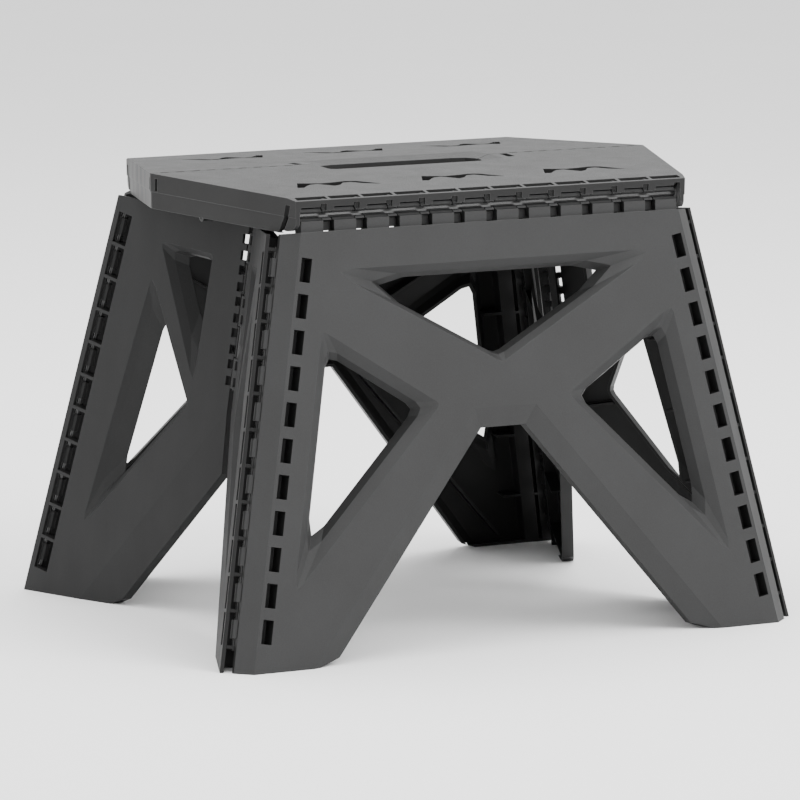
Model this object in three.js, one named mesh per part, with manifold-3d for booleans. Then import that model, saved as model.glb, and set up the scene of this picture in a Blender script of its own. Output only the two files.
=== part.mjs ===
// A folding step stool of moulded plastic: two seat halves, two X-shaped leg panels, four K-shaped leaves.
// Millimetres, +Z up, +X along the seat, -Y to the front. The origin is on the floor, under the seat.
import * as THREE from "three";
import { ConvexGeometry } from "three/addons/geometries/ConvexGeometry.js";
import { mergeVertices } from "three/addons/utils/BufferGeometryUtils.js";
import Module from "manifold-3d";

const wasm = await Module();
wasm.setup();

// ---- Driving dimensions ----

// Seat: each half is a shallow ramp that rises to the ridge between them.
const SEAT_TIP_LENGTH = 372.6; // along the ridge, point to point
const SEAT_EDGE_LENGTH = 288; // along the front and back edges
const SEAT_DEPTH = 268; // front edge to back edge
const SEAT_EDGE_HEIGHT = 300;
const SEAT_RIDGE_RISE = 5.3;
const SEAT_PLATE = 3;
const SEAT_WALL = 2.6;
const SKIRT_DEPTH = 23.5;
const SKIRT_STEP_DEPTH = 12.2; // depth of the ledge between the two bands of a skirt
const SKIRT_STEP = 0.5; // how far the lower band stands back
const FRONT_BAND_DEPTH = 8.2;
const FRONT_SLOPE = 7.7; // width of the strip along the front edge that falls away
const FRONT_SLOPE_DROP = 1.25;
const NOTCH_DEPTH = 4.4;
const SEAM_GAP = 0.8; // between the two halves at the ridge
const SEAT_RIB = 1.8;
const SEAT_RIB_DEPTH = 11;
const SEAT_RIBS = [2, 5]; // knuckle pitches from the centre line, so that each rib ends between two hooks
const CROSS_RIBS = [0.3, 0.52, 0.76]; // shares of the half's depth, from the ridge
const POST_DEPTH = 5; // front to back, of the post at each end of the front edge
const POST_SLOT = 4.2; // between that post and the skirt behind it
const SWING_MARGIN = 2.6; // the post's lower end stays this far short of the panel

// Finger slot across the ridge
const SLOT_LENGTH = 134;
const SLOT_WIDTH = 52;
const SLOT_BEVEL = 9;
const SLOT_BEVEL_DEPTH = 2.9;
const SLOT_WALL_DEPTH = 15;
const SLOT_CORNER = 13;

// Wavy grip slots, three on each half
const WAVE_SPACING = 91.5;
const WAVE_DISTANCE = 82; // from the ridge
const WAVE_RIDGE_SIDE = [[-22, 9.5], [-13, 6.3], [-4, 4.2], [8, 7], [17, 7.6], [24, -1], [30, -9]];
const WAVE_FRONT_SIDE = [
  [-30, -8], [-25, -8.6], [-20, -2], [-15, 2], [-8.5, 1.6], [-5, -6.6],
  [0.5, -8], [6, 0.5], [13, 3.6], [19, -4], [30, -10.4],
];

// Seat hinges
const KNUCKLES = 12;
const KNUCKLE_WIDTH = 16;
const KNUCKLE_MARGIN = 1.2; // seat edge beyond the first and last hook's share
const POCKET_DEPTH = 5.6; // front to back, behind the front band
const POCKET_DIVIDER = 2.2;
const BAND_WALL = 1.9;
const ROD_RADIUS = 2.3;
const ROD_SETBACK = 8.8; // behind the panels' top front edge line of the seat
const ROD_DROP = 12;
const ROD_HOOK = 2; // wall of the hooks round the rod
const HOOK_MOUTH = 76; // degrees

// Centre hinge, left and right of the finger slot
const CENTRE_CELLS = 6;
const CENTRE_CELL = 11.6;
const CENTRE_START = 80;
const CENTRE_PIN_RADIUS = 1.6;
const CENTRE_KNUCKLE_RADIUS = 4;

// Leg panels
const PANEL_FOOT_SPREAD = 352.4; // front face to back face on the floor
const PANEL_TOP_INSET = 1.1; // behind the seat's front edge
const PANEL_TOP_DROP = 21.8; // below the seat's front edge
const PANEL_THICKNESS = 12.5;
const PANEL_SKIN = 2.6;
const PANEL_WALL = 2.4;
const PANEL_RIB = 1.6;
const SIDE_BEVEL = 10.2; // width of the slanting strip along each side
const SIDE_BEVEL_DEPTH = 9.4;
const SIDE_OVERHANG = 1; // panel side beyond the corner hinge's axis
const WINDOW_BEVEL_DEPTH = 5.5;
const TOP_WINDOW = { half: 121.5, top: 256.3, bottom: 188.5 };
const SIDE_WINDOW = { outerTop: [129.8, 218], inner: [47.1, 164.2], outerBottom: [162.6, 48] };
const ARCH = { half: 16.5, top: 146.5, footHalf: 130.5, foot: 5.5, flatHalf: 146 };
const ARCH_BEVEL = 13;
const HOLE_WIDTH = 7.4;
const HOLE_HEIGHT = 15.8;
const HOLE_OFFSET = 15.3; // from the corner hinge's axis
const HOLE_FLOOR = 1.5;
const HOLE_WALL = 1.6;

// Corner hinges, one down each side of each panel
const CORNER_HALF_LENGTH = 203.6; // axis at the floor, from the panel's centre line
const CORNER_CELLS = 11;
const CORNER_PITCH = 23.5;
const CORNER_FIRST = 27.5;
const CORNER_PIN_RADIUS = 1.5;
const CORNER_KNUCKLE_RADIUS = 3.1;
const LUG_LENGTH = 12;

// End leaves
const LEAF_THICKNESS = 10.5;
const LEAF_BEHIND_AXIS = 3; // leaf thickness inside the corner axis
const LEAF_SKIN = 2.5;
const LEAF_WALL = 2.2;
const LEAF_EDGE = 3.5; // leaf beyond the corner axis
const LEAF_POCKET_START = 1;
const LEAF_POCKET_END = 13.6;
const LEAF_DIVIDER = 2.1;
const LEAF_DROP_AT_CORNER = 24.2; // top of the leaf, below the seat's edge
const LEAF_DROP_AT_MIDDLE = 34;
const LEAF_LOWER_WINDOW = [[44, 241], [34.9, 57.5], [104, 167.5]];
const LEAF_UPPER_WINDOW = [[44.5, 265.3], [104.2, 181.4], [93.3, 271.2]];
const LEAF_ARCH = { foot: [85.9, 22.8], flat: 75.7, slope: 1.832 };
const LEAF_SLOPE = 26; // width of the shallow slope along the arch
const LEAF_SLOPE_DEPTH = 2.2;
const MIDDLE_HALF_LENGTH = 148; // middle hinge axis at the floor, from the centre line
const MIDDLE_EDGE = 3.8; // leaf edge to the middle axis
const MIDDLE_CELLS = 5;
const MIDDLE_CELL = 21.2;
const MIDDLE_FIRST = 158; // from the floor, along the axis
const MIDDLE_SLOT_HEIGHT = 17.5;
const MIDDLE_SLOT_DEPTH = 4.5;
const MIDDLE_SLOT_FLOOR = 1.4;
const MIDDLE_ARM = 5; // height of the arm that carries each knuckle
const MIDDLE_PIN_RADIUS = 1.4;
const MIDDLE_KNUCKLE_RADIUS = 3;

// Clearances
const RUN = 0.3; // pins in their holes
const FACE_GAP = 0.5; // panel to leaf when folded
const CLOSE_GAP = 0.6; // leaf to the middle plane when folded
const KNUCKLE_GAP = 0.7; // between neighbouring knuckles
const TAB_GAP = 0.6; // between the seat's tabs and the panel's top edge
const PAST = 3; // how far a cut runs past what it cuts
const LAP = 0.02; // how far stacked cuts run into each other

const ROUND = 10; // sides of a small cylinder

// ---- Solids ----

const asSolid = (geometry, matrix = new THREE.Matrix4()) => {
  const plain = geometry.clone().applyMatrix4(matrix);
  plain.deleteAttribute("normal");
  plain.deleteAttribute("uv");
  const merged = mergeVertices(plain, 1e-4);
  const triVerts = new Uint32Array(merged.index.array);
  if (matrix.determinant() < 0) triVerts.reverse();
  const vertProperties = new Float32Array(merged.attributes.position.array);
  return new wasm.Manifold(new wasm.Mesh({ numProp: 3, vertProperties, triVerts }));
};

const asGeometry = (solid) => {
  const mesh = solid.asOriginal().simplify(0.01).getMesh();
  const geometry = new THREE.BufferGeometry();
  geometry.setAttribute("position", new THREE.BufferAttribute(new Float32Array(mesh.vertProperties), 3));
  geometry.setIndex(new THREE.BufferAttribute(new Uint32Array(mesh.triVerts), 1));
  geometry.computeVertexNormals();
  return geometry;
};

const join = (solids) => solids.reduce((a, b) => a.add(b));
const cut = (solid, tools) => tools.reduce((a, b) => a.subtract(b), solid);
const isClockwise = (points) => THREE.ShapeUtils.isClockWise(points.map(([x, y]) => ({ x, y })));
const shapeOf = (points) => new THREE.Shape(points.map(([x, y]) => new THREE.Vector2(x, y)));

// An outline in X and Y, run along Z from one height to another.
const extrude = (points, from, to, matrix = new THREE.Matrix4()) => {
  const loop = isClockwise(points) ? [...points].reverse() : points;
  const geometry = new THREE.ExtrudeGeometry(shapeOf(loop), { depth: to - from, bevelEnabled: false });
  return asSolid(geometry.translate(0, 0, from), matrix);
};

const basis = (x, y, z) => new THREE.Matrix4().makeBasis(...[x, y, z].map((a) => new THREE.Vector3(...a)));
const YZ_ALONG_X = basis([0, 1, 0], [0, 0, 1], [1, 0, 0]);
const XZ_ALONG_Y = basis([1, 0, 0], [0, 0, 1], [0, -1, 0]);

// An outline in Y and Z, run along X.
const extrudeX = (points, from, to) => extrude(points, from, to, YZ_ALONG_X);

// An outline in X and Z, run along Y, then placed by a matrix.
const extrudeY = (points, from, to, matrix = new THREE.Matrix4()) =>
  extrude(points, -to, -from, matrix.clone().multiply(XZ_ALONG_Y));

const hull = (points) => asSolid(new ConvexGeometry(points.map((p) => new THREE.Vector3(...p))));
const atLevel = (points, z) => points.map(([x, y]) => [x, y, z]);
const between = (low, z0, high, z1) => hull([...atLevel(low, z0), ...atLevel(high, z1)]);
const block = (x0, x1, y0, y1, z0, z1, matrix = new THREE.Matrix4()) => {
  const box = new THREE.BoxGeometry(x1 - x0, y1 - y0, z1 - z0);
  return asSolid(box.translate((x0 + x1) / 2, (y0 + y1) / 2, (z0 + z1) / 2), matrix);
};

const circle = (x, y, radius, start = 0, end = 360, sides = ROUND) => {
  const whole = end - start >= 360;
  const steps = Math.max(2, Math.round((sides * (end - start)) / 360));
  return Array.from({ length: whole ? steps : steps + 1 }, (_, i) => {
    const angle = THREE.MathUtils.degToRad(start + ((end - start) * i) / steps);
    return [x + radius * Math.cos(angle), y + radius * Math.sin(angle)];
  });
};

// A straight-sided outline with each side moved inwards by its own distance.
// Side i runs from point i to point i + 1.
const inset = (points, distances) => {
  const turn = isClockwise(points) ? -1 : 1;
  const lines = points.map(([x, y], i) => {
    const [nextX, nextY] = points[(i + 1) % points.length];
    const length = Math.hypot(nextX - x, nextY - y);
    const normal = [(-turn * (nextY - y)) / length, (turn * (nextX - x)) / length];
    return { normal, reach: normal[0] * x + normal[1] * y + distances[i % distances.length] };
  });
  return points.map((_, i) => {
    const a = lines[(i + points.length - 1) % points.length];
    const b = lines[i];
    const scale = a.normal[0] * b.normal[1] - a.normal[1] * b.normal[0];
    return [
      (a.reach * b.normal[1] - b.reach * a.normal[1]) / scale,
      (a.normal[0] * b.reach - b.normal[0] * a.reach) / scale,
    ];
  });
};

// The same outline with its corners rounded.
const rounded = (points, radius, steps = 2) =>
  points.flatMap(([x, y], i) => {
    const here = new THREE.Vector2(x, y);
    const toward = (j) => new THREE.Vector2(...points[(j + points.length) % points.length]).sub(here);
    const before = toward(i - 1);
    const after = toward(i + 1);
    const half = Math.acos(before.dot(after) / (before.length() * after.length())) / 2;
    const reach = Math.min(radius / Math.tan(half), before.length() * 0.45, after.length() * 0.45);
    const start = before.normalize().multiplyScalar(reach).add(here);
    const end = after.normalize().multiplyScalar(reach).add(here);
    const curve = new THREE.QuadraticBezierCurve(start, here, end);
    return curve.getPoints(steps).map((p) => [p.x, p.y]);
  });

const mirrored = (points) => points.map(([x, y]) => [-x, y]);

// ---- Shared positions ----

const deg = THREE.MathUtils.radToDeg;
const panelTop = SEAT_EDGE_HEIGHT - PANEL_TOP_DROP;
const tilt = Math.atan2((PANEL_FOOT_SPREAD - SEAT_DEPTH) / 2 + PANEL_TOP_INSET, panelTop);
const panelLength = panelTop / Math.cos(tilt);
const knucklePitch = (SEAT_EDGE_LENGTH - 2 * KNUCKLE_MARGIN) / KNUCKLES;
const seatKnuckleWidth = knucklePitch - KNUCKLE_WIDTH - 2 * KNUCKLE_GAP;
const slope = Math.atan2(SEAT_RIDGE_RISE, SEAT_DEPTH / 2);
const seatReach = SEAT_DEPTH / 2 / Math.cos(slope);
const rodHalf = SEAT_EDGE_LENGTH / 2 - SEAT_WALL - SKIRT_STEP - 1;
const rod = new THREE.Vector2(ROD_SETBACK - SEAT_DEPTH / 2, SEAT_EDGE_HEIGHT - ROD_DROP);

// Front panel frame: X along the panel, Y up its face, Z out of its face.
const panelMatrix = new THREE.Matrix4()
  .makeTranslation(0, -PANEL_FOOT_SPREAD / 2, 0)
  .multiply(new THREE.Matrix4().makeRotationX(Math.PI / 2 - tilt));
const rodInPanel = new THREE.Vector3(0, rod.x, rod.y).applyMatrix4(panelMatrix.clone().invert());

// Front seat half frame: X along the ridge, Y from the front edge to the ridge, Z out of the top face.
const seatMatrix = new THREE.Matrix4()
  .makeTranslation(0, 0, SEAT_EDGE_HEIGHT + SEAT_RIDGE_RISE)
  .multiply(new THREE.Matrix4().makeRotationX(slope));
const rodInSeat = new THREE.Vector3(0, rod.x, rod.y).applyMatrix4(seatMatrix.clone().invert());

// The centre hinge lies as far inside the rod as the folded panel and leaf need.
const halfStack = PANEL_THICKNESS + FACE_GAP + LEAF_THICKNESS + CLOSE_GAP;
const centreDepth = halfStack + rodInPanel.z - rodInSeat.z;
const centreHeight = SEAT_EDGE_HEIGHT + SEAT_RIDGE_RISE - centreDepth / Math.cos(slope);
const centreInSeat = new THREE.Vector3(0, 0, centreHeight).applyMatrix4(seatMatrix.clone().invert());

// Corner axes and middle axes all run to one apex above the stool.
const cornerDepth = PANEL_THICKNESS + FACE_GAP + LEAF_BEHIND_AXIS;
const cornerFoot = new THREE.Vector3(-CORNER_HALF_LENGTH, cornerDepth * Math.tan(tilt), -cornerDepth)
  .applyMatrix4(panelMatrix);
const apex = new THREE.Vector3(0, 0, -cornerFoot.y / Math.tan(tilt));
const apexInPanel = apex.clone().applyMatrix4(panelMatrix.clone().invert());
const cornerFootInPanel = cornerFoot.clone().applyMatrix4(panelMatrix.clone().invert());
const cornerLean = Math.atan2(-cornerFootInPanel.x, apexInPanel.y - cornerFootInPanel.y);
const axisHalf = (y) => CORNER_HALF_LENGTH - (y - cornerFootInPanel.y) * Math.tan(cornerLean);
const sideHalf = (y) => axisHalf(y) + SIDE_OVERHANG / Math.cos(cornerLean);
const faceHalf = (y) => sideHalf(y) - SIDE_BEVEL / Math.cos(cornerLean);
const cornerCentre = (i) => CORNER_FIRST + i * CORNER_PITCH;

// Left corner axis frame inside the front panel: X to the panel's middle, Y up the axis, Z out of the face.
const cornerMatrix = new THREE.Matrix4()
  .makeTranslation(cornerFootInPanel.x, cornerFootInPanel.y, cornerFootInPanel.z)
  .multiply(new THREE.Matrix4().makeRotationZ(-cornerLean));

// Leaf frame for the back left corner: X along the leaf, Y up the corner axis, Z out of the end.
const leafOuter = LEAF_THICKNESS - LEAF_BEHIND_AXIS;
const middleLevel = leafOuter + CLOSE_GAP;
const leafFoot = new THREE.Vector3(cornerFoot.x, -cornerFoot.y, cornerFoot.z);
const leafUp = apex.clone().sub(leafFoot).normalize();
const middleFoot = new THREE.Vector3(-MIDDLE_HALF_LENGTH, 0, 0);
const toMiddle = middleFoot.clone().sub(leafFoot);
const middleRise = toMiddle.dot(leafUp);
toMiddle.addScaledVector(leafUp, -middleRise);
const leafAcross = toMiddle.clone().normalize();
leafAcross.applyAxisAngle(leafUp, Math.asin(middleLevel / toMiddle.length()));
const leafOut = new THREE.Vector3().crossVectors(leafAcross, leafUp);
const leafMatrix = new THREE.Matrix4().makeBasis(leafAcross, leafUp, leafOut).setPosition(leafFoot);
const middleReach = toMiddle.dot(leafAcross);
const apexRise = apex.distanceTo(leafFoot);
const middleLean = Math.atan2(middleReach, apexRise - middleRise);
const middleAt = (y) => (apexRise - y) * Math.tan(middleLean);

// Middle axis frame inside a leaf: X away from the leaf, Y up the axis from the floor, Z out of the end.
const leafInverse = leafMatrix.clone().invert();
const middleStart = middleFoot.clone().applyMatrix4(leafInverse);
const middleUp = new THREE.Vector3(0, apexRise, 0).sub(middleStart).normalize();
const middleAcross = new THREE.Vector3().crossVectors(middleUp, new THREE.Vector3(0, 0, 1)).normalize();
const middleOut = new THREE.Vector3().crossVectors(middleAcross, middleUp);
const middleMatrix = new THREE.Matrix4().makeBasis(middleAcross, middleUp, middleOut);
middleMatrix.setPosition(middleStart);

// ---- Leg panel ----

// A window through a plate: a bevel, then walls that draw in, then straight on past the back.
const windowCut = (rim, bevels, walls, corner, deep, bevelDepth, face = 0) => {
  const shoulder = rounded(inset(rim, bevels), corner);
  const opening = rounded(inset(rim, bevels.map((b, i) => b + walls[i])), corner);
  return join([
    between(shoulder, face - bevelDepth, rounded(rim, corner / 2), face + LAP),
    between(opening, face - deep, shoulder, face - bevelDepth + LAP),
    extrude(opening, face - 2 * deep, face - deep + LAP),
  ]);
};

// The moulded wall that stands round a window, behind the skin.
const windowWall = (rim, bevels, walls, corner, deep, bevelDepth, wall, face = 0) => {
  const grow = (b) => b - wall;
  const shoulder = rounded(inset(rim, bevels.map(grow)), corner + wall);
  const opening = rounded(inset(rim, bevels.map((b, i) => grow(b + walls[i]))), corner + wall);
  return join([
    between(shoulder, face - bevelDepth, inset(rim, bevels.map(() => -wall)), face),
    between(opening, face - deep, shoulder, face - bevelDepth),
  ]);
};

const topWindowRim = [
  [-TOP_WINDOW.half, TOP_WINDOW.top],
  [0, TOP_WINDOW.bottom],
  [TOP_WINDOW.half, TOP_WINDOW.top],
];
const leftWindowRim = mirrored([SIDE_WINDOW.outerTop, SIDE_WINDOW.outerBottom, SIDE_WINDOW.inner]);
const panelWindows = [
  { rim: topWindowRim, bevels: [3.6, 3.6, 5], walls: [1.8, 1.8, 2.6], corner: 9 },
  { rim: leftWindowRim, bevels: [7, 6, 6.4], walls: [4, 2.6, 2.6], corner: 6 },
  { rim: mirrored(leftWindowRim), bevels: [7, 6, 6.4], walls: [4, 2.6, 2.6], corner: 6 },
];

const archOutline = (grow) => {
  const side = [ARCH.footHalf - ARCH.half, ARCH.top - ARCH.foot];
  const length = Math.hypot(...side);
  const shift = [(grow * side[1]) / length, (grow * side[0]) / length];
  const run = side[0] / side[1];
  const lowEnd = ARCH.footHalf + shift[0] + (ARCH.foot + shift[1] + PAST) * run;
  const topEnd = ARCH.half + shift[0] + (shift[1] - grow) * run;
  return [[-lowEnd, -PAST], [lowEnd, -PAST], [topEnd, ARCH.top + grow], [-topEnd, ARCH.top + grow]];
};

const panelOutline = (half, y0, y1) => [[-half(y0), y0], [half(y0), y0], [half(y1), y1], [-half(y1), y1]];

function panelEnvelope(shrink) {
  const low = (z) => -z * Math.tan(tilt) + shrink;
  const high = panelLength - shrink;
  const side = (y) => sideHalf(y) - shrink;
  const face = (y) => faceHalf(y) - shrink;
  return hull([
    ...atLevel(panelOutline(face, low(0), high), 0),
    ...atLevel(panelOutline(side, low(-SIDE_BEVEL_DEPTH), high), -SIDE_BEVEL_DEPTH - shrink * 0.4),
    ...atLevel(panelOutline(side, low(-PANEL_THICKNESS), high), -PANEL_THICKNESS - (shrink ? PAST : 0)),
  ]);
}

function panelRibs() {
  const ribs = [];
  const bar = (x0, y0, x1, y1) => {
    const length = Math.hypot(x1 - x0, y1 - y0);
    const side = [(-(y1 - y0) * PANEL_RIB) / length / 2, ((x1 - x0) * PANEL_RIB) / length / 2];
    const outline = [
      [x0 - side[0], y0 - side[1]],
      [x1 - side[0], y1 - side[1]],
      [x1 + side[0], y1 + side[1]],
      [x0 + side[0], y0 + side[1]],
    ];
    ribs.push(extrude(outline, -PANEL_THICKNESS, -PANEL_SKIN / 2));
  };
  for (let i = 0; i < CORNER_CELLS; i += 2) {
    const y = (cornerCentre(i) + CORNER_PITCH / 2) * Math.cos(cornerLean);
    [-1, 1].forEach((s) => bar(s * sideHalf(y), y, s * (sideHalf(y) - 36), y));
  }
  [-1, 1].forEach((s) => {
    bar(s * 20, 172, s * 134, 240);
    bar(s * 30, 150, s * 160, 10);
  });
  [-96, -48, 0, 48, 96].forEach((x) => bar(x, TOP_WINDOW.top - 4, x, panelLength));
  bar(0, ARCH.top - 4, 0, TOP_WINDOW.bottom + 4);
  return ribs;
}

// Hook round the seat rod: a ring with its mouth to the front, on a block on the panel's top edge.
function rodHook(x, width) {
  const { y, z } = rodInPanel;
  const outer = ROD_RADIUS + RUN + ROD_HOOK;
  const front = 90 + deg(tilt);
  const ring = circle(y, z, outer, front + HOOK_MOUTH / 2, front + 360 - HOOK_MOUTH / 2);
  const base = [
    [panelLength - PAST, z - outer],
    [panelLength - PAST, -1.4],
    [panelLength + 1.1, -1.5],
    [y - 3.9, -0.7],
    ring[0],
    [y, z],
    [y, z - outer],
  ];
  return join([[...ring, [y, z]], base].map((outline) => extrudeX(outline, x - width / 2, x + width / 2)));
}

const knuckleCentre = (i) => (i - (KNUCKLES - 1) / 2) * knucklePitch;
const bothSides = (make) => [
  make(cornerMatrix),
  make(new THREE.Matrix4().makeScale(-1, 1, 1).multiply(cornerMatrix)),
];

function cornerLug(i, matrix) {
  const reach = cornerDepth - PANEL_THICKNESS;
  const r = CORNER_KNUCKLE_RADIUS;
  const root = [[r, reach + 1], [-SIDE_OVERHANG, reach + 1], [-r, reach - 0.6]];
  const outline = [...circle(0, 0, r, 180, 360), ...root];
  const from = cornerCentre(i) - LUG_LENGTH / 2;
  return extrudeY(outline, from, from + LUG_LENGTH, matrix);
}

function legPanel() {
  const envelope = panelEnvelope(0);
  const hollow = panelEnvelope(PANEL_WALL);
  const skin = extrude(panelOutline((y) => sideHalf(y), -PAST, panelLength), -PANEL_SKIN, 0);
  const shell = envelope.subtract(hollow.subtract(skin));
  const faceInside = panelOutline((y) => faceHalf(y) - 1.2, -PAST, panelLength + PAST);
  const sideInside = panelOutline((y) => sideHalf(y) - PANEL_WALL, -PAST, panelLength + PAST);
  const bevelSkin = envelope.subtract(hull([
    ...atLevel(faceInside, -PANEL_SKIN),
    ...atLevel(sideInside, -SIDE_BEVEL_DEPTH - 1.2),
    ...atLevel(sideInside, -PANEL_THICKNESS - PAST),
  ]));
  const flange = bothSides((m) =>
    extrudeY(
      [[-SIDE_OVERHANG, 3.5], [7, 3.5], [7, 6], [-SIDE_OVERHANG, 6]],
      -PAST,
      panelLength + PAST * 4,
      m,
    ).intersect(envelope),
  );
  const holeSection = (grow, z0, z1) => {
    const near = HOLE_OFFSET - HOLE_WIDTH / 2 - grow;
    const far = HOLE_OFFSET + HOLE_WIDTH / 2 + grow;
    return [[near, z0], [far, z0], [far, z1], [near, z1]];
  };
  const railBack = cornerDepth - PANEL_THICKNESS;
  const railSection = holeSection(HOLE_WALL, railBack, cornerDepth - 1);
  const rails = bothSides((m) => extrudeY(railSection, -PAST, panelLength + PAST * 4, m).intersect(envelope));
  const walls = panelWindows.map((w) =>
    windowWall(w.rim, w.bevels, w.walls, w.corner, PANEL_THICKNESS, WINDOW_BEVEL_DEPTH, PANEL_WALL),
  );
  const archWall = join([
    between(archOutline(PANEL_WALL), -WINDOW_BEVEL_DEPTH, archOutline(ARCH_BEVEL + PANEL_WALL), 0),
    extrude(archOutline(PANEL_WALL), -PANEL_THICKNESS, -WINDOW_BEVEL_DEPTH + 0.1),
  ]);
  const inner = join([...walls, archWall, ...panelRibs()]).intersect(envelope);
  const archCuts = [
    between(archOutline(0), -WINDOW_BEVEL_DEPTH, archOutline(ARCH_BEVEL), 0.02),
    extrude(archOutline(0), -PANEL_THICKNESS - PAST, -WINDOW_BEVEL_DEPTH + 0.02),
    extrude(
      [[-ARCH.flatHalf, -PAST], [ARCH.flatHalf, -PAST], [ARCH.flatHalf, 0.4], [ARCH.footHalf, ARCH.foot],
        [-ARCH.footHalf, ARCH.foot], [-ARCH.flatHalf, 0.4]],
      -PANEL_THICKNESS - PAST,
      PAST,
    ),
  ];
  const holes = bothSides((m) =>
    join(
      Array.from({ length: CORNER_CELLS }, (_, i) => {
        const section = holeSection(0, railBack + HOLE_FLOOR, cornerDepth + PAST);
        return extrudeY(section, cornerCentre(i) - HOLE_HEIGHT / 2, cornerCentre(i) + HOLE_HEIGHT / 2, m);
      }),
    ),
  );
  const windows = panelWindows.map((w) =>
    windowCut(w.rim, w.bevels, w.walls, w.corner, PANEL_THICKNESS, WINDOW_BEVEL_DEPTH),
  );
  const lugs = bothSides((m) => join(Array.from({ length: CORNER_CELLS }, (_, i) => cornerLug(i, m))));
  const bores = bothSides((m) => extrudeY(circle(0, 0, CORNER_PIN_RADIUS + RUN), -PAST, apexRise / 3, m));
  const rodSection = circle(rodInPanel.y, rodInPanel.z, ROD_RADIUS + RUN);
  bores.push(extrudeX(rodSection, -SEAT_EDGE_LENGTH, SEAT_EDGE_LENGTH));
  const hooks = Array.from({ length: KNUCKLES }, (_, i) => rodHook(knuckleCentre(i), KNUCKLE_WIDTH));
  const moulding = join([shell, bevelSkin, ...flange, ...rails, inner]);
  const body = cut(moulding, [...windows, ...archCuts, ...holes]);
  return cut(join([body, ...lugs, ...hooks]), bores);
}

// ---- Seat half ----

const seatOutline = (grow, y0 = -seatReach, y1 = -SEAM_GAP / 2) => {
  const run = (SEAT_TIP_LENGTH - SEAT_EDGE_LENGTH) / 2 / seatReach;
  const half = (y) => SEAT_EDGE_LENGTH / 2 + (y + seatReach) * run + grow * Math.hypot(1, run);
  return [[-half(y0), y0], [half(y0), y0], [half(y1), y1], [-half(y1), y1]];
};

const waveOutline = (x, y) => {
  const curve = (points) => new THREE.SplineCurve(points.map((p) => new THREE.Vector2(...p)));
  const ridgeSide = curve(WAVE_RIDGE_SIDE).getPoints(WAVE_RIDGE_SIDE.length);
  const frontSide = curve(WAVE_FRONT_SIDE).getPoints(WAVE_FRONT_SIDE.length);
  return [...frontSide, ...ridgeSide.reverse()].map((p) => [x + p.x, y + p.y]);
};

// The middles of every second cell beside the slot; the turned half fills the others.
const centreCells = Array.from({ length: CENTRE_CELLS / 2 }, (_, i) => [
  -CENTRE_START - CENTRE_CELL * (2 * i + 0.5),
  CENTRE_START + CENTRE_CELL * (2 * i + 1.5),
]).flat();

function seatKnuckle(x, width) {
  const { y, z } = rodInSeat;
  const outer = ROD_RADIUS + RUN + ROD_HOOK;
  const outline = [
    ...circle(y, z, outer, 180 + HOOK_MOUTH / 2, 360),
    [y + outer, -SEAT_PLATE / 2],
    [y - outer + 1.6, -SEAT_PLATE / 2],
    ...circle(y, z, outer, 110, 180 - HOOK_MOUTH / 2),
    [y, z],
  ];
  // A tab fills the gap between the panel's hooks and turns just clear of the panel's top edge.
  const reach = rodInPanel.y - panelLength - TAB_GAP;
  const tab = [[y, z], ...circle(y, z, reach, 256, 322, 20)];
  return join([outline, tab].map((points) => extrudeX(points, x - width / 2, x + width / 2)));
}

function centreKnuckle(x, width) {
  const { y, z } = centreInSeat;
  const face = -SEAM_GAP / 2 + (z + 9) * Math.tan(slope);
  const outline = [
    ...circle(y, z, CENTRE_KNUCKLE_RADIUS, 180, 380),
    [face, z + 9],
    [-SEAM_GAP, -SEAT_PLATE / 2],
    [-10, -SEAT_PLATE / 2],
  ];
  return extrudeX(outline, x - width / 2, x + width / 2);
}

// The skirt round the seat: an upper band, and a lower one that stands back from it.
function seatSkirt() {
  const ring = (grow, low, high) => {
    const inside = seatOutline(-SEAT_WALL - SKIRT_STEP, -seatReach - PAST, PAST);
    return extrude(seatOutline(grow), low, high).subtract(extrude(inside, low - PAST, high + PAST));
  };
  const bands = join([
    ring(0, -SKIRT_STEP_DEPTH, -SEAT_PLATE / 2),
    ring(-SKIRT_STEP, -SKIRT_DEPTH, -SKIRT_STEP_DEPTH + 1),
  ]);

  // The lower front corner is an arc about the rod, so that it swings clear of the leg panel.
  const { y, z } = rodInSeat;
  const arc = circle(y, z, ROD_DROP - SWING_MARGIN, 180, 290, 28);
  const front = -seatReach - PAST;
  const top = z + 4.5;
  const low = -SKIRT_DEPTH - PAST;
  const swing = [[front, top], [arc[0][0], top], ...arc, [arc.at(-1)[0], low], [front, low]];

  // A slot parts the post at the end of the front edge from the skirt behind it.
  const slotFront = [[POST_DEPTH, -4.6], [POST_DEPTH + 1.6, -12.2], [POST_DEPTH + 6.4, -23]];
  const toBack = ([across, height]) => [across + POST_SLOT - seatReach, height];
  const toFront = ([across, height]) => [across - seatReach, height];
  const slotEnd = [POST_DEPTH - seatReach, low];
  const slot = [...slotFront.map(toFront), slotEnd, ...slotFront.map(toBack).reverse()];
  const tipSlots = [-1, 1].map((side) => {
    const x = side * (SEAT_TIP_LENGTH / 2 - 3);
    return block(x - 4, x + 4, -6.6, -4.4, -SKIRT_STEP_DEPTH + 0.8, -1.6);
  });
  const profiles = [swing, slot].map((outline) => extrudeX(outline, -SEAT_TIP_LENGTH, SEAT_TIP_LENGTH));
  return cut(bands, [...profiles, ...tipSlots]);
}

// Notches in the front band, over the hooks.
const hookNotch = (x) => {
  const half = KNUCKLE_WIDTH / 2 + 1.2;
  const low = -FRONT_BAND_DEPTH;
  const high = low + NOTCH_DEPTH;
  const ledge = low + NOTCH_DEPTH * 0.55;
  const outline = [
    [x - half, low - PAST],
    [x + half, low - PAST],
    [x + half, high],
    [x + half - 4.5, high],
    [x + half - 4.5, ledge],
    [x - half, ledge],
  ];
  return extrudeY(outline, -seatReach - PAST, -seatReach + PAST);
};

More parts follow.
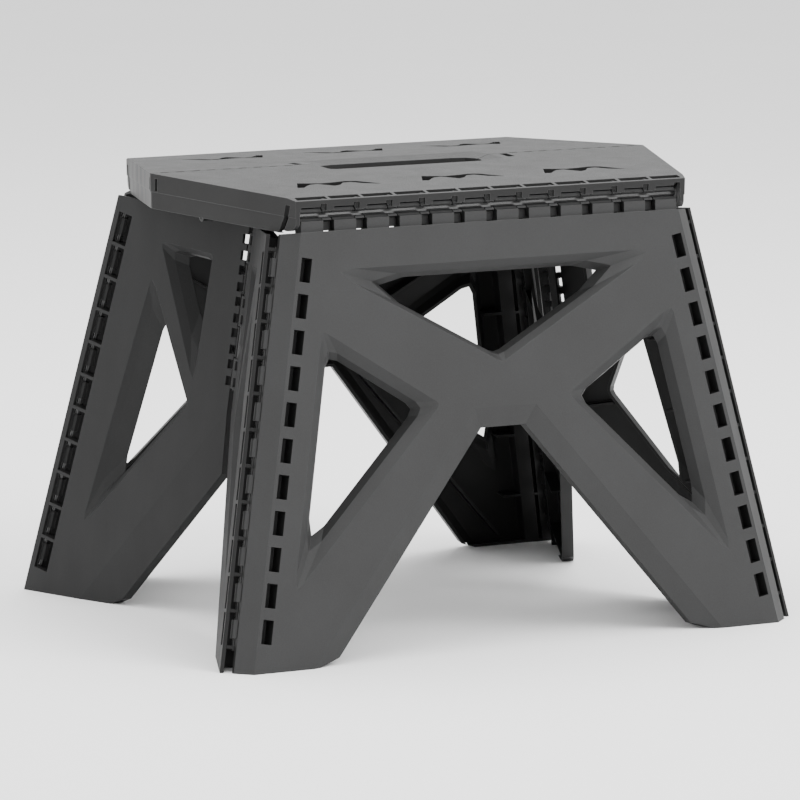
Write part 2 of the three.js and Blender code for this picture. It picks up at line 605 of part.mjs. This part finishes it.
function seatHalf() {
  const back = -SEAM_GAP / 2;
  const edgeHalf = SEAT_EDGE_LENGTH / 2;
  const ribBottom = -SEAT_PLATE - SEAT_RIB_DEPTH;
  const pocketFront = -seatReach + BAND_WALL;
  const pocketBack = pocketFront + POCKET_DEPTH;
  const plate = extrude(seatOutline(0), -SEAT_PLATE, 0);
  const band = block(-edgeHalf, edgeHalf, -seatReach, pocketFront, -FRONT_BAND_DEPTH, -1);
  const ridgeHalf = SEAT_TIP_LENGTH / 2 - 8;
  const ridgeWall = block(-ridgeHalf, ridgeHalf, back - SEAT_WALL, back, -SKIRT_DEPTH + 5, -1);
  const pocketHalf = edgeHalf - SEAT_WALL;
  const pocketWall = block(-pocketHalf, pocketHalf, pocketBack, pocketBack + SEAT_RIB, -6.5, -1);
  const ribs = SEAT_RIBS.flatMap((i) => [-i * knucklePitch, i * knucklePitch]).map((x) =>
    block(x - SEAT_RIB / 2, x + SEAT_RIB / 2, pocketBack, back, ribBottom, -1),
  );
  const crossRibs = CROSS_RIBS.map((share) => {
    const y = -share * seatReach;
    const reach = seatOutline(-(SEAT_WALL + SKIRT_STEP) / 2, y)[1][0];
    return block(-reach, reach, y - SEAT_RIB / 2, y + SEAT_RIB / 2, ribBottom, -1);
  });

  const slotRim = [
    [-SLOT_LENGTH / 2, SLOT_WIDTH / 2],
    [-SLOT_LENGTH / 2, -SLOT_WIDTH / 2],
    [SLOT_LENGTH / 2, -SLOT_WIDTH / 2],
    [SLOT_LENGTH / 2, SLOT_WIDTH / 2],
  ];
  const slotForm = [slotRim, Array(4).fill(SLOT_BEVEL), Array(4).fill(0.8), SLOT_CORNER, SLOT_WALL_DEPTH];
  const slotWall = windowWall(...slotForm, SLOT_BEVEL_DEPTH, SEAT_WALL)
    .subtract(block(-SLOT_LENGTH, SLOT_LENGTH, back, SLOT_WIDTH, -SKIRT_DEPTH, PAST));
  const slotCut = windowCut(...slotForm, SLOT_BEVEL_DEPTH);

  const hooks = Array.from({ length: KNUCKLES }, (_, i) => knuckleCentre(i));
  const pocketSide = (knucklePitch - POCKET_DIVIDER) / 2;
  const pockets = hooks.map((x) =>
    block(x - pocketSide, x + pocketSide, pocketFront, pocketBack, -SEAT_PLATE - PAST, PAST),
  );
  const waves = [-1, 0, 1].map((i) =>
    extrude(waveOutline(i * WAVE_SPACING, -WAVE_DISTANCE), ribBottom - PAST, PAST),
  );
  const seamDashes = Array.from({ length: 9 }, (_, i) => SLOT_LENGTH / 2 + 18 + i * 11.4)
    .flatMap((x) => [-x, x])
    .map((x) => block(x - 3, x + 3, back - 0.9, PAST, -SEAT_PLATE / 2, PAST));
  const holeStart = SLOT_LENGTH / 2 + 6;
  const squareHole = block(holeStart, holeStart + 5.5, back - 15, back - 1.6, -SEAT_PLATE - PAST, PAST);
  const slopeStart = -seatReach + FRONT_SLOPE;
  const slopeEnd = -seatReach - PAST;
  const slopeLow = (slopeEnd - slopeStart) * (FRONT_SLOPE_DROP / FRONT_SLOPE);
  const slopeSection = [[slopeStart, 0], [slopeStart, PAST], [slopeEnd, PAST], [slopeEnd, slopeLow]];
  const frontSlope = extrudeX(slopeSection, -SEAT_TIP_LENGTH, SEAT_TIP_LENGTH);
  const upright = seatMatrix.clone().invert();
  const ridge = block(-SEAT_TIP_LENGTH, SEAT_TIP_LENGTH, back, SEAT_DEPTH, 0, SEAT_EDGE_HEIGHT * 2, upright);

  const frame = join([plate, band, ridgeWall, pocketWall, ...ribs, ...crossRibs, slotWall]);
  const notches = hooks.map(hookNotch);
  const top = cut(frame, [slotCut, ...pockets, ...waves, ...seamDashes, squareHole, ...notches]);
  const shell = cut(join([top, seatSkirt()]), [frontSlope, ridge]);
  const rodKnuckles = hooks.slice(1).map((x) => seatKnuckle(x - knucklePitch / 2, seatKnuckleWidth));
  const hinge = centreCells.map((x) => centreKnuckle(x, CENTRE_CELL - KNUCKLE_GAP));
  const rodSection = circle(rodInSeat.y, rodInSeat.z, ROD_RADIUS + RUN);
  const rodBore = extrudeX(rodSection, -rodHalf - RUN, rodHalf + RUN);
  const centreBore = extrudeX(
    circle(centreInSeat.y, centreInSeat.z, CENTRE_PIN_RADIUS + RUN),
    -SEAT_TIP_LENGTH,
    SEAT_TIP_LENGTH,
  );
  return cut(join([shell, ...rodKnuckles, ...hinge]), [rodBore, centreBore]);
}

// ---- End leaf ----

const leafBottom = (x, z) => -(leafAcross.z * x + leafOut.z * z) / leafUp.z;
const leafHeightAt = (x, height) => (height - leafAcross.z * x - leafOut.z * leafOuter) / leafUp.z;

function leafOutline(shrink, edge) {
  const middle = (y) => middleAt(y) - MIDDLE_EDGE / Math.cos(middleLean) - shrink;
  const [footX, footY] = LEAF_ARCH.foot;
  const steep = Math.hypot(1, LEAF_ARCH.slope);
  const archY = (x) => footY + (x - footX) * LEAF_ARCH.slope + shrink * steep;
  const cornerTop = leafHeightAt(0, SEAT_EDGE_HEIGHT - LEAF_DROP_AT_CORNER) - shrink;
  const middleTop = leafHeightAt(middleAt(290), SEAT_EDGE_HEIGHT - LEAF_DROP_AT_MIDDLE) - shrink;
  const run = Math.tan(middleLean);
  const meetX = (middle(0) - run * (archY(0) - 0)) / (1 + run * LEAF_ARCH.slope);
  const low = -PAST * 2 + shrink * 3;
  return [
    [edge, low],
    [LEAF_ARCH.flat - shrink, leafBottom(LEAF_ARCH.flat, leafOuter) + shrink + (shrink ? 0 : 0.01)],
    [footX - shrink, archY(footX - shrink)],
    [meetX, archY(meetX)],
    [middle(middleTop), middleTop],
    [edge, cornerTop],
  ];
}

// Heights of the leaf's two faces, from the middle axis.
const outerLevel = (y) => leafOuter - middleStart.z - middleUp.z * y;
const innerLevel = (y) => outerLevel(y) - LEAF_THICKNESS;

function middleKnuckle(i, kind) {
  const from = MIDDLE_FIRST + i * MIDDLE_CELL + KNUCKLE_GAP / 2;
  const to = from + MIDDLE_CELL - KNUCKLE_GAP;
  const level = outerLevel(from);
  if (kind === "ring") {
    const outline = [
      ...circle(0, 0, MIDDLE_KNUCKLE_RADIUS, -100, 130),
      [-MIDDLE_EDGE - 4, level],
      [-MIDDLE_EDGE - 4, level - LEAF_SKIN - 1],
    ];
    return extrudeY(outline, from, to, middleMatrix);
  }
  const groove = MIDDLE_PIN_RADIUS + RUN + 0.1;
  const outline = [
    [-MIDDLE_EDGE - 4, level - LEAF_SKIN - 1.4],
    [1.6, -groove - 1.6],
    [1.6, -groove - 0.1],
    [0, -groove - 0.1],
    ...circle(0, 0, groove, 180, 270).reverse(),
    [-groove, 0.6],
    [-groove - 1.2, 0.6],
    [-MIDDLE_EDGE - 4, level],
  ];
  return extrudeY(outline, from, to, middleMatrix);
}

const leafWindows = [
  { rim: LEAF_LOWER_WINDOW, bevels: [5, 4.6, 2.6], walls: [9, 2, 1.2], corner: 5 },
  { rim: LEAF_UPPER_WINDOW, bevels: [5, 2.6, 3.6], walls: [6.5, 1.2, 2], corner: 5 },
];
const LEAF_BEVEL_DEPTH = 4;

function endLeaf(kind) {
  const inner = -LEAF_BEHIND_AXIS;
  const outline = leafOutline(0, -LEAF_EDGE);
  const body = leafOutline(0, LEAF_POCKET_END);
  const envelope = join([
    extrude(outline, leafOuter - LEAF_SKIN, leafOuter),
    extrude(body, inner, leafOuter),
  ]);
  const inside = leafOutline(LEAF_WALL, LEAF_POCKET_END + LEAF_WALL);
  const hollow = extrude(inside, inner - PAST, leafOuter - LEAF_SKIN);
  const walls = leafWindows.map((w) =>
    windowWall(w.rim, w.bevels, w.walls, w.corner, LEAF_THICKNESS, LEAF_BEVEL_DEPTH, LEAF_WALL, leafOuter),
  );
  const ribs = [60, 100, 150, 200].map((y) =>
    block(LEAF_POCKET_END, 52, y - PANEL_RIB / 2, y + PANEL_RIB / 2, inner, leafOuter - 1),
  );
  ribs.push(block(LEAF_POCKET_END, 140, 20, 20 + PANEL_RIB, inner, leafOuter - 1));
  ribs.push(block(96, 160, 160, 160 + PANEL_RIB, inner, leafOuter - 1));
  const stiffeners = join([...walls, ...ribs]).intersect(extrude(body, inner, leafOuter));

  const pockets = Array.from({ length: CORNER_CELLS }, (_, i) => {
    const half = (CORNER_PITCH - LEAF_DIVIDER) / 2;
    const y = cornerCentre(i);
    return block(LEAF_POCKET_START, LEAF_POCKET_END, y - half, y + half, inner - PAST, leafOuter + PAST);
  });
  const dividerOutline = [
    ...circle(0, 0, CORNER_KNUCKLE_RADIUS, 150, 270),
    [LEAF_POCKET_END + 0.5, inner],
    [LEAF_POCKET_END + 0.5, leafOuter - 0.4],
    [-LEAF_EDGE + 0.6, leafOuter - 0.4],
    [-LEAF_EDGE + 0.6, leafOuter - LEAF_SKIN],
  ];
  const dividers = Array.from({ length: CORNER_CELLS + 1 }, (_, i) => {
    const y = cornerCentre(i) - CORNER_PITCH / 2;
    return extrudeY(dividerOutline, y - LEAF_DIVIDER / 2, y + LEAF_DIVIDER / 2);
  });

  // A shallow slope along the arch.
  const [footX, footY] = LEAF_ARCH.foot;
  const steep = Math.hypot(1, LEAF_ARCH.slope);
  const along = (distance, back) => [
    footX + distance / steep - (back * LEAF_ARCH.slope) / steep,
    footY + (distance * LEAF_ARCH.slope) / steep + back / steep,
  ];
  const strip = (back) => [along(-60, back), along(220, back)];
  const slopeCut = hull([
    ...atLevel(strip(LEAF_SLOPE), leafOuter),
    ...atLevel(strip(-PAST), leafOuter - LEAF_SLOPE_DEPTH * (1 + PAST / LEAF_SLOPE)),
    ...atLevel(strip(LEAF_SLOPE), leafOuter + PAST),
    ...atLevel(strip(-PAST), leafOuter + PAST),
  ]);

  const cells = Array.from({ length: MIDDLE_CELLS }, (_, i) => i);
  const isRing = (i) => i % 2 === 0;
  const knuckles = cells.filter((i) => isRing(i) === (kind === "ring")).map((i) => middleKnuckle(i, kind));
  const ringPockets = cells.filter(isRing).map((i) => {
    const from = MIDDLE_FIRST + i * MIDDLE_CELL - KNUCKLE_GAP / 2;
    const section = circle(0, 0, MIDDLE_KNUCKLE_RADIUS + 0.6);
    return extrudeY(section, from, from + MIDDLE_CELL + KNUCKLE_GAP, middleMatrix);
  });
  const slots = cells.flatMap((i) => {
    const middle = MIDDLE_FIRST + (i + 0.5) * MIDDLE_CELL;
    const slotEnd = (from) => [from, from + (MIDDLE_SLOT_HEIGHT - MIDDLE_ARM) / 2];
    return [slotEnd(middle - MIDDLE_SLOT_HEIGHT / 2), slotEnd(middle + MIDDLE_ARM / 2)];
  });
  const slotSide = -MIDDLE_EDGE - MIDDLE_SLOT_DEPTH;
  const slotCuts = slots.map(([from, to]) => {
    const floor = innerLevel(to) + MIDDLE_SLOT_FLOOR;
    return block(slotSide, -MIDDLE_KNUCKLE_RADIUS, from, to, floor, LEAF_THICKNESS, middleMatrix);
  });
  const lastCell = MIDDLE_FIRST + MIDDLE_CELLS * MIDDLE_CELL;
  const backing = block(
    slotSide - MIDDLE_SLOT_FLOOR, -MIDDLE_EDGE, MIDDLE_FIRST, lastCell,
    innerLevel(MIDDLE_FIRST) - 1, innerLevel(lastCell) + MIDDLE_SLOT_FLOOR, middleMatrix,
  ).intersect(extrude(body, inner, leafOuter));
  const cuts = leafWindows.map((w) =>
    windowCut(w.rim, w.bevels, w.walls, w.corner, LEAF_THICKNESS, LEAF_BEVEL_DEPTH, leafOuter),
  );
  const reach = PANEL_FOOT_SPREAD;
  const floor = block(-reach, reach, -reach, reach, -SKIRT_DEPTH, 0, leafInverse);
  const shell = join([envelope.subtract(hollow), stiffeners, backing]);
  const plain = cut(shell, [...cuts, ...pockets, slopeCut]);
  const cleared = kind === "ring" ? plain : cut(plain, ringPockets);
  const whole = join([cleared, ...dividers, ...knuckles]);
  const bores = [extrudeY(circle(0, 0, CORNER_PIN_RADIUS + RUN), -PAST * 4, apexRise / 3)];
  if (kind === "ring") {
    bores.push(extrudeY(circle(0, 0, MIDDLE_PIN_RADIUS + RUN), 0, apexRise / 2, middleMatrix));
  }
  return cut(whole, [...slotCuts, ...bores, floor]);
}

// ---- Materials ----

const plastic = (color, roughness) => new THREE.MeshStandardMaterial({ color, roughness, metalness: 0 });
const SEAT_PLASTIC = plastic(0x4a4a4c, 0.78);
const PANEL_PLASTIC = plastic(0x3f3f41, 0.7);
const LEAF_PLASTIC = plastic(0x3a3a3c, 0.7);
const ROD_PLASTIC = plastic(0x1c1c1d, 0.3);
const PIN_STEEL = new THREE.MeshStandardMaterial({ color: 0x333335, roughness: 0.45, metalness: 0.8 });

const named = (name, solid, material) => {
  const mesh = new THREE.Mesh(asGeometry(solid), material);
  mesh.name = name;
  return mesh;
};
const placed = (matrix, ...children) => {
  const group = new THREE.Group();
  group.applyMatrix4(matrix);
  group.add(...children);
  return group;
};

// ---- Assembly ----

const stool = new THREE.Group();
const TURNED = new THREE.Matrix4().makeRotationZ(Math.PI);
const pinAlongX = (radius, x0, x1) => extrudeX(circle(0, 0, radius), x0, x1);

[["front", new THREE.Matrix4()], ["back", TURNED]].forEach(([side, turn]) => {
  const panel = placed(panelMatrix, named(`${side}_leg_panel`, legPanel(), PANEL_PLASTIC));
  const seat = placed(seatMatrix, named(`seat_${side}`, seatHalf(), SEAT_PLASTIC));
  const rodMesh = named(`seat_rod_${side}`, pinAlongX(ROD_RADIUS, -rodHalf, rodHalf), ROD_PLASTIC);
  rodMesh.position.set(0, rod.x, rod.y);
  stool.add(placed(turn, panel, seat, rodMesh));
});

const pinStart = CENTRE_START - CENTRE_CELL / 2 + 1;
const pinLength = CENTRE_CELLS * CENTRE_CELL + CENTRE_CELL / 2;
["left", "right"].forEach((side, i) => {
  const from = i ? pinStart : -pinStart - pinLength;
  const pin = named(`centre_pin_${side}`, pinAlongX(CENTRE_PIN_RADIUS, from, from + pinLength), PIN_STEEL);
  pin.position.set(0, 0, centreHeight);
  stool.add(pin);
});

const CORNERS = [
  { name: "back_left", flip: [1, 1, 1], kind: "cradle" },
  { name: "front_left", flip: [1, -1, 1], kind: "ring" },
  { name: "back_right", flip: [-1, 1, 1], kind: "cradle" },
  { name: "front_right", flip: [-1, -1, 1], kind: "ring" },
];
const cornerPinEnds = [cornerCentre(-0.5) - 2, cornerCentre(CORNER_CELLS - 0.5) + 2];
CORNERS.forEach(({ name, flip, kind }) => {
  const leaf = named(`end_leaf_${name}`, endLeaf(kind), LEAF_PLASTIC);
  const pinSolid = extrudeY(circle(0, 0, CORNER_PIN_RADIUS), ...cornerPinEnds);
  const pin = named(`corner_pin_${name}`, pinSolid, PIN_STEEL);
  const corner = placed(leafMatrix, leaf, pin);
  if (kind === "ring") {
    const span = [MIDDLE_FIRST - 1, MIDDLE_FIRST + MIDDLE_CELLS * MIDDLE_CELL + 1];
    const middle = extrudeY(circle(0, 0, MIDDLE_PIN_RADIUS), ...span, middleMatrix);
    corner.add(named(`middle_pin_${name.split("_")[1]}`, middle, PIN_STEEL));
  }
  stool.add(placed(new THREE.Matrix4().makeScale(...flip), corner));
});

export default stool;
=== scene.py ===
import math

import bpy
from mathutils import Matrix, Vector

# Looks for the folding step stool: moulded plastics, glossy rods and dark hinge pins, on a pale floor.

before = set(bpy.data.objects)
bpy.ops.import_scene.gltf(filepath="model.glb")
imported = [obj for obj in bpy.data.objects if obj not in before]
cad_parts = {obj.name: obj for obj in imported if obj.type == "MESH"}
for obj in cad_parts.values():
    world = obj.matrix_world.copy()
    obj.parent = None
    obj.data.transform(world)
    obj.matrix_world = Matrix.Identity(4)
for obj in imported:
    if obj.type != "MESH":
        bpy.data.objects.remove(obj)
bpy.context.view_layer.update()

# Viewpoint, in metres and millimetres of lens
CAMERA_PLACE = (-1.7509, -3.4778, 0.7552)
CAMERA_DIRECTION = (0.4439, 0.8824, -0.156)
CAMERA_LENS = 260.8
SENSOR_WIDTH = 36.0
CLIP_END = 50.0

# Which way the pieces' outer faces look
PANEL_LEAN = math.radians(8.85)
SIDES = {"front": -1.0, "back": 1.0}
UP = (0.0, 0.0, 1.0)
LEAF_OUTWARD = (0.92, 0.37, 0.125)

# Greys of the plastics on their outer faces, and the darker greys painted as shade on faces turned away and
# in recesses
SEAT_SHADE, SEAT_PAINTED_SHADE = 0.055, 0.014
PANEL_SHADE, PANEL_PAINTED_SHADE = 0.03, 0.014
LEAF_SHADE, LEAF_PAINTED_SHADE = 0.017, 0.01
# Painted edge highlight: rims lightened to this many times the shade
EDGE_HIGHLIGHT = 2.1  # times the shade
SEAT_STIPPLE = 0.9
SEAT_ROUGHNESS = 0.62
MOULDED_ROUGHNESS = 0.56
INNER_ROUGHNESS = 0.46

# Light
LIGHT_LEVEL = 0.15  # height that the lower lights look at
LIGHTS = [
    ("key", (0.9, -1.6, 1.9), (0, 0, LIGHT_LEVEL), (1.4, 1.4), 50.0),
    ("top", (0.1, 0.3, 2.4), (0, 0, 0.2), (2.2, 2.2), 85.0),
    ("end", (-2.2, -0.3, 0.9), (0, 0, LIGHT_LEVEL), (1.0, 1.0), 4.0),
]
WORLD_STRENGTH = 1.5
FLOOR_REACH = 12.0


# ---- Camera ----

def add_camera(place, direction, lens):
    data = bpy.data.cameras.new("camera")
    data.lens = lens
    data.sensor_width = SENSOR_WIDTH
    data.clip_end = CLIP_END
    camera = bpy.data.objects.new("camera", data)
    camera.location = place
    camera.rotation_euler = Vector(direction).to_track_quat("-Z", "Y").to_euler()
    bpy.context.scene.collection.objects.link(camera)
    bpy.context.scene.camera = camera


add_camera(CAMERA_PLACE, CAMERA_DIRECTION, CAMERA_LENS)


# ---- Node helpers ----

def new_material(name):
    material = bpy.data.materials.new(name)
    material.use_nodes = True
    material.node_tree.nodes.clear()
    return material, material.node_tree


def node(tree, kind, inputs=None, **settings):
    made = tree.nodes.new(kind)
    for key, value in settings.items():
        setattr(made, key, value)
    for key, value in (inputs or {}).items():
        if isinstance(value, bpy.types.NodeSocket):
            tree.links.new(value, made.inputs[key])
        else:
            made.inputs[key].default_value = value
    return made


def maths(tree, operation, a, b):
    return node(tree, "ShaderNodeMath", {0: a, 1: b}, operation=operation).outputs[0]


def dot_product(tree, a, b):
    return node(tree, "ShaderNodeVectorMath", {0: a, 1: b}, operation="DOT_PRODUCT").outputs["Value"]


def stretched(tree, place, scale):
    return node(tree, "ShaderNodeMapping", {"Vector": place, "Scale": scale}).outputs[0]


def noise(tree, place, scale, detail=2.0, roughness=0.5):
    values = {"Vector": place, "Scale": scale, "Detail": detail, "Roughness": roughness}
    return node(tree, "ShaderNodeTexNoise", values).outputs["Fac"]


def remap(tree, value, low, high, to_low, to_high):
    values = {"Value": value, "From Min": low, "From Max": high, "To Min": to_low, "To Max": to_high}
    return node(tree, "ShaderNodeMapRange", values).outputs["Result"]


def spread(tree, value, to_low, to_high):
    """A noise's usual range, remapped."""
    return remap(tree, value, 0.3, 0.7, to_low, to_high)


def blend_colour(tree, factor, first, second):
    mix = node(tree, "ShaderNodeMix", data_type="RGBA")
    sockets = [s for s in mix.inputs if s.type == "RGBA"]
    tree.links.new(factor, mix.inputs[0])
    for socket, value in zip(sockets, (first, second)):
        if isinstance(value, bpy.types.NodeSocket):
            tree.links.new(value, socket)
        else:
            socket.default_value = value
    return next(s for s in mix.outputs if s.type == "RGBA")


def grey(value, warm=0.0):
    return (value * (1 + warm), value, value * (1 - warm), 1.0)


def facing(tree, normal, direction):
    """1 where the surface faces the direction, in the piece's own frame, and 0 where it doesn't."""
    return remap(tree, dot_product(tree, normal, direction), 0.2, 0.62, 0.0, 1.0)


# ---- Materials ----

def moulded_plastic(name, shade, direction, painted_shade_grey, stipple=0.0, matt=MOULDED_ROUGHNESS):
    """Moulded plastic: matt with a fine grain where it faces the direction, smoother elsewhere, and darker
    elsewhere as painted shade.
    """
    material, tree = new_material(name)
    coordinates = node(tree, "ShaderNodeTexCoord")
    place = coordinates.outputs["Object"]
    outside = facing(tree, coordinates.outputs["Normal"], direction)

    # Painted edge highlight, where the rounded normal leaves the flat one
    rounded = node(tree, "ShaderNodeBevel", {"Radius": 0.0006}, samples=6).outputs["Normal"]
    flat = node(tree, "ShaderNodeNewGeometry").outputs["Normal"]
    edge_highlight = remap(tree, dot_product(tree, rounded, flat), 0.995, 0.86, 0.0, 1.0)

    # Colour
    cloud = noise(tree, place, 16.0, 4.0, 0.6)
    speck = noise(tree, place, 1300.0, 1.0)
    smear = noise(tree, stretched(tree, place, (1.0, 1.0, 0.22)), 60.0, 3.0)
    tone = maths(tree, "ADD", spread(tree, cloud, -0.5, 0.5), spread(tree, speck, -0.5, 0.5))
    tone_share = remap(tree, tone, -0.8, 0.8, 0.0, 1.0)
    varied = blend_colour(tree, tone_share, grey(shade * 0.9), grey(shade * 1.1, -0.01))
    # Painted shade: faces turned away from the direction and recesses get a darker grey
    painted_shade_share = spread(tree, cloud, 0.0, 1.0)
    painted_shade_colour = blend_colour(tree, painted_shade_share, grey(painted_shade_grey * 0.85), grey(painted_shade_grey * 1.15))
    body_with_painted_shade = blend_colour(tree, outside, painted_shade_colour, varied)
    # Painted edge highlight: the rims are lightened
    colour = blend_colour(tree, maths(tree, "MULTIPLY", edge_highlight, 0.4), body_with_painted_shade, grey(shade * EDGE_HIGHLIGHT))

    # Surface
    base_rough = remap(tree, outside, 0.0, 1.0, INNER_ROUGHNESS, matt)
    rough = maths(tree, "ADD", base_rough, spread(tree, smear, -0.05, 0.05))
    grain = noise(tree, place, 900.0, 2.0, 0.6)
    wave = noise(tree, place, 22.0, 1.0)
    grain_strength = maths(tree, "ADD", maths(tree, "MULTIPLY", outside, 0.35 + stipple), 0.08)
    fine = node(tree, "ShaderNodeBump", {
        "Height": grain, "Distance": 0.00012 + stipple * 0.0005, "Normal": rounded,
        "Strength": grain_strength,
    }).outputs["Normal"]
    broad = node(tree, "ShaderNodeBump", {
        "Height": wave, "Distance": 0.0009, "Strength": 0.12, "Normal": fine,
    }).outputs["Normal"]

    shader = node(tree, "ShaderNodeBsdfPrincipled", {
        "Base Color": colour, "Roughness": rough, "Normal": broad,
        "IOR": 1.49, "Specular IOR Level": 0.2,
    })
    node(tree, "ShaderNodeOutputMaterial", {"Surface": shader.outputs[0]})
    return material


def glossy_rod(name):
    """Dark drawn rod with faint lengthwise lines."""
    material, tree = new_material(name)
    place = node(tree, "ShaderNodeTexCoord").outputs["Object"]
    lines = noise(tree, stretched(tree, place, (0.02, 1.0, 1.0)), 1500.0)
    colour = blend_colour(tree, spread(tree, lines, 0.0, 1.0), grey(0.012), grey(0.03))
    bump = node(tree, "ShaderNodeBump", {"Height": lines, "Distance": 0.00005, "Strength": 0.3})
    shader = node(tree, "ShaderNodeBsdfPrincipled", {
        "Base Color": colour, "Roughness": spread(tree, lines, 0.16, 0.26),
        "Normal": bump.outputs["Normal"], "IOR": 1.5, "Coat Weight": 0.3,
    })
    node(tree, "ShaderNodeOutputMaterial", {"Surface": shader.outputs[0]})
    return material


def drawn_steel(name):
    """Blackened drawn steel for the hinge pins, dulled in patches."""
    material, tree = new_material(name)
    place = node(tree, "ShaderNodeTexCoord").outputs["Object"]
    lines = noise(tree, place, 700.0, 2.0)
    patches = noise(tree, place, 40.0, 3.0)
    patch_share = remap(tree, patches, 0.35, 0.65, 0.0, 1.0)
    colour = blend_colour(tree, patch_share, grey(0.03), grey(0.07))
    bump = node(tree, "ShaderNodeBump", {"Height": lines, "Distance": 0.00004, "Strength": 0.3})
    shader = node(tree, "ShaderNodeBsdfPrincipled", {
        "Base Color": colour, "Metallic": 1.0, "Roughness": spread(tree, patches, 0.28, 0.44),
        "Normal": bump.outputs["Normal"],
    })
    node(tree, "ShaderNodeOutputMaterial", {"Surface": shader.outputs[0]})
    return material


def panel_plastic(side):
    outward = (0.0, SIDES[side] * math.cos(PANEL_LEAN), math.sin(PANEL_LEAN))
    return moulded_plastic(f"panel_plastic_{side}", PANEL_SHADE, outward, PANEL_PAINTED_SHADE)


def leaf_plastic(leaf):
    """Each leaf's outer face looks away from its end and slightly inwards along it."""
    x, y, z = LEAF_OUTWARD
    outward = (-x if leaf.endswith("left") else x, y if "front" in leaf else -y, z)
    return moulded_plastic(f"leaf_plastic_{leaf[9:]}", LEAF_SHADE, outward, LEAF_PAINTED_SHADE)


ROD = glossy_rod("rod_plastic")
STEEL = drawn_steel("pin_steel")
SEAT = moulded_plastic("seat_plastic", SEAT_SHADE, UP, SEAT_PAINTED_SHADE, stipple=SEAT_STIPPLE, matt=SEAT_ROUGHNESS)
PANELS = {side: panel_plastic(side) for side in SIDES}
LEAVES = {name: leaf_plastic(name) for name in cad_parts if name.startswith("end_leaf_")}


def material_of(name):
    if name.startswith("seat_rod"):
        return ROD
    if "_pin_" in name:
        return STEEL
    if name.startswith("seat_"):
        return SEAT
    if name.endswith("_leg_panel"):
        return PANELS[name.split("_")[0]]
    return LEAVES[name]


for name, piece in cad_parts.items():
    piece.data.materials.clear()
    piece.data.materials.append(material_of(name))


# ---- Floor and light ----

def add_floor():
    material, tree = new_material("floor")
    place = node(tree, "ShaderNodeTexCoord").outputs["Object"]
    cloud = noise(tree, place, 3.0, 2.0)
    colour = blend_colour(tree, cloud, grey(0.9), grey(0.93))
    shader = node(tree, "ShaderNodeBsdfPrincipled", {"Base Color": colour, "Roughness": 0.9})
    node(tree, "ShaderNodeOutputMaterial", {"Surface": shader.outputs[0]})
    corners = [(-1, -1), (1, -1), (1, 1), (-1, 1)]
    mesh = bpy.data.meshes.new("floor")
    mesh.from_pydata([(x * FLOOR_REACH, y * FLOOR_REACH, 0) for x, y in corners], [], [(0, 1, 2, 3)])
    mesh.materials.append(material)
    floor = bpy.data.objects.new("floor", mesh)
    bpy.context.scene.collection.objects.link(floor)


def add_light(name, place, target, size, power):
    data = bpy.data.lights.new(name, "AREA")
    data.shape = "RECTANGLE"
    data.size, data.size_y = size
    data.energy = power
    light = bpy.data.objects.new(name, data)
    light.location = place
    light.rotation_euler = (Vector(target) - Vector(place)).to_track_quat("-Z", "Y").to_euler()
    bpy.context.scene.collection.objects.link(light)


def add_world(strength):
    world = bpy.data.worlds.new("world")
    world.use_nodes = True
    background = world.node_tree.nodes["Background"]
    background.inputs["Color"].default_value = (1.0, 1.0, 1.0, 1.0)
    background.inputs["Strength"].default_value = strength
    bpy.context.scene.world = world


add_floor()
for light in LIGHTS:
    add_light(*light)
add_world(WORLD_STRENGTH)
